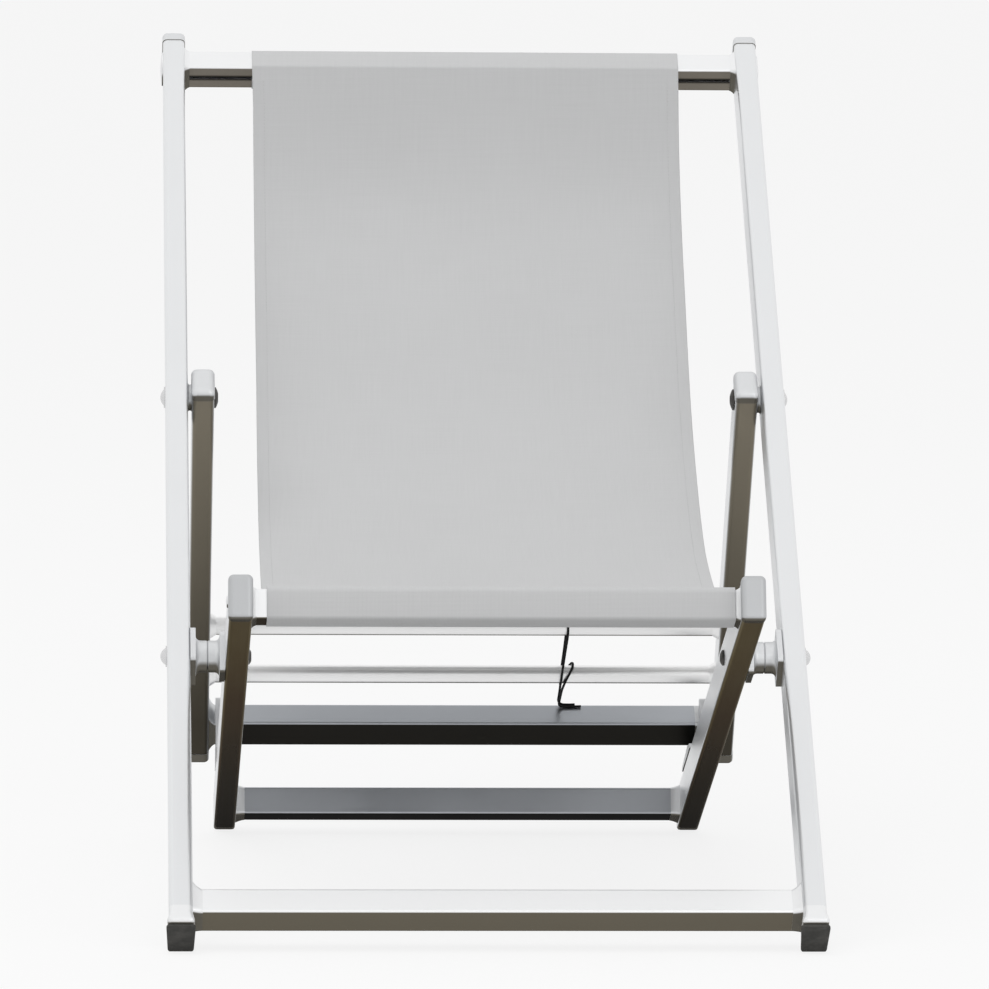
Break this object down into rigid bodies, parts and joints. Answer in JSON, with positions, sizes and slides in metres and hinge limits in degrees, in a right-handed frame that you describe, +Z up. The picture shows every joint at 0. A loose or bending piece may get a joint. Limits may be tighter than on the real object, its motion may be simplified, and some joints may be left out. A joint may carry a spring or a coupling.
{
  "type": "folding deck chair",
  "caption": "Folding aluminium deck chair: nested hinged frames, a strut that stands in cradles, and a fabric sling hung between two rails.",
  "frame": {"origin": "on the floor, under the centre of the open chair's bounding box", "axes": "+X to the chair's left as one sits in it seen from behind, that is to the right in a front view; +Y to the rear, towards the head rail; +Z up"},
  "size_m": [0.6128, 0.9328, 0.8023],
  "materials": {
    "frame_aluminium": "satin anodised tube",
    "cast_aluminium": "satin casting",
    "dark_rubber": "matte",
    "bolt_steel": "bright",
    "nut_dark": "dark coating",
    "sling_fabric": "fine woven mesh",
    "cord_black": "braided"
  },
  "bodies": {
    "back_frame": {"outer_rail_left": "frame_aluminium", "outer_rail_right": "frame_aluminium", "top_cap_left": "cast_aluminium", "top_cap_right": "cast_aluminium", "front_foot_left": "cast_aluminium", "front_foot_right": "cast_aluminium", "front_pad_left": "dark_rubber", "front_pad_right": "dark_rubber", "front_socket_left": "cast_aluminium", "front_socket_right": "cast_aluminium", "head_socket_left": "cast_aluminium", "head_socket_right": "cast_aluminium", "outer_boss_left": "cast_aluminium", "outer_boss_right": "cast_aluminium", "main_bolt_left": "bolt_steel", "main_bolt_right": "bolt_steel", "main_nut_left": "nut_dark", "main_nut_right": "nut_dark", "strut_bolt_left": "bolt_steel", "strut_bolt_right": "bolt_steel", "strut_nut_left": "nut_dark", "strut_nut_right": "nut_dark", "front_crossbar": "frame_aluminium", "head_rail": "frame_aluminium", "head_sleeve": "sling_fabric", "sling": "sling_fabric"},
    "seat_frame": {"inner_rail_left": "frame_aluminium", "inner_rail_right": "frame_aluminium", "seat_cap_left": "cast_aluminium", "seat_cap_right": "cast_aluminium", "rear_foot_left": "cast_aluminium", "rear_foot_right": "cast_aluminium", "rear_pad_left": "dark_rubber", "rear_pad_right": "dark_rubber", "seat_socket_left": "cast_aluminium", "seat_socket_right": "cast_aluminium", "rear_socket_left": "cast_aluminium", "rear_socket_right": "cast_aluminium", "inner_boss_left": "cast_aluminium", "inner_boss_right": "cast_aluminium", "cradle_left": "cast_aluminium", "cradle_right": "cast_aluminium", "seat_rail": "frame_aluminium", "rear_crossbar": "frame_aluminium", "seat_sleeve": "sling_fabric"},
    "strut_frame": {"strut_rail_left": "frame_aluminium", "strut_rail_right": "frame_aluminium", "strut_cap_left": "cast_aluminium", "strut_cap_right": "cast_aluminium", "strut_end_left": "cast_aluminium", "strut_end_right": "cast_aluminium", "strut_socket_left": "cast_aluminium", "strut_socket_right": "cast_aluminium", "strut_collar_left": "cast_aluminium", "strut_collar_right": "cast_aluminium", "strut_bar": "frame_aluminium", "mid_rung": "frame_aluminium", "upper_rung": "frame_aluminium", "cord": "cord_black"}
  },
  "joints": [
    {"name": "seat_fold", "type": "hinge", "parent": "back_frame", "child": "seat_frame", "pos_m": [0, -0.18959, 0.24095], "axis": [1, 0, 0], "range_deg": [0, 61.57], "deforming": ["sling"]},
    {"name": "strut_fold", "type": "hinge", "parent": "back_frame", "child": "strut_frame", "pos_m": [0, 0.0723, 0.46337], "axis": [1, 0, 0], "range_deg": [0, 96.5]}
  ],
  "couplings": [
    {"joint": "strut_fold", "follows": "seat_fold", "ratio": 1.5672}
  ]
}
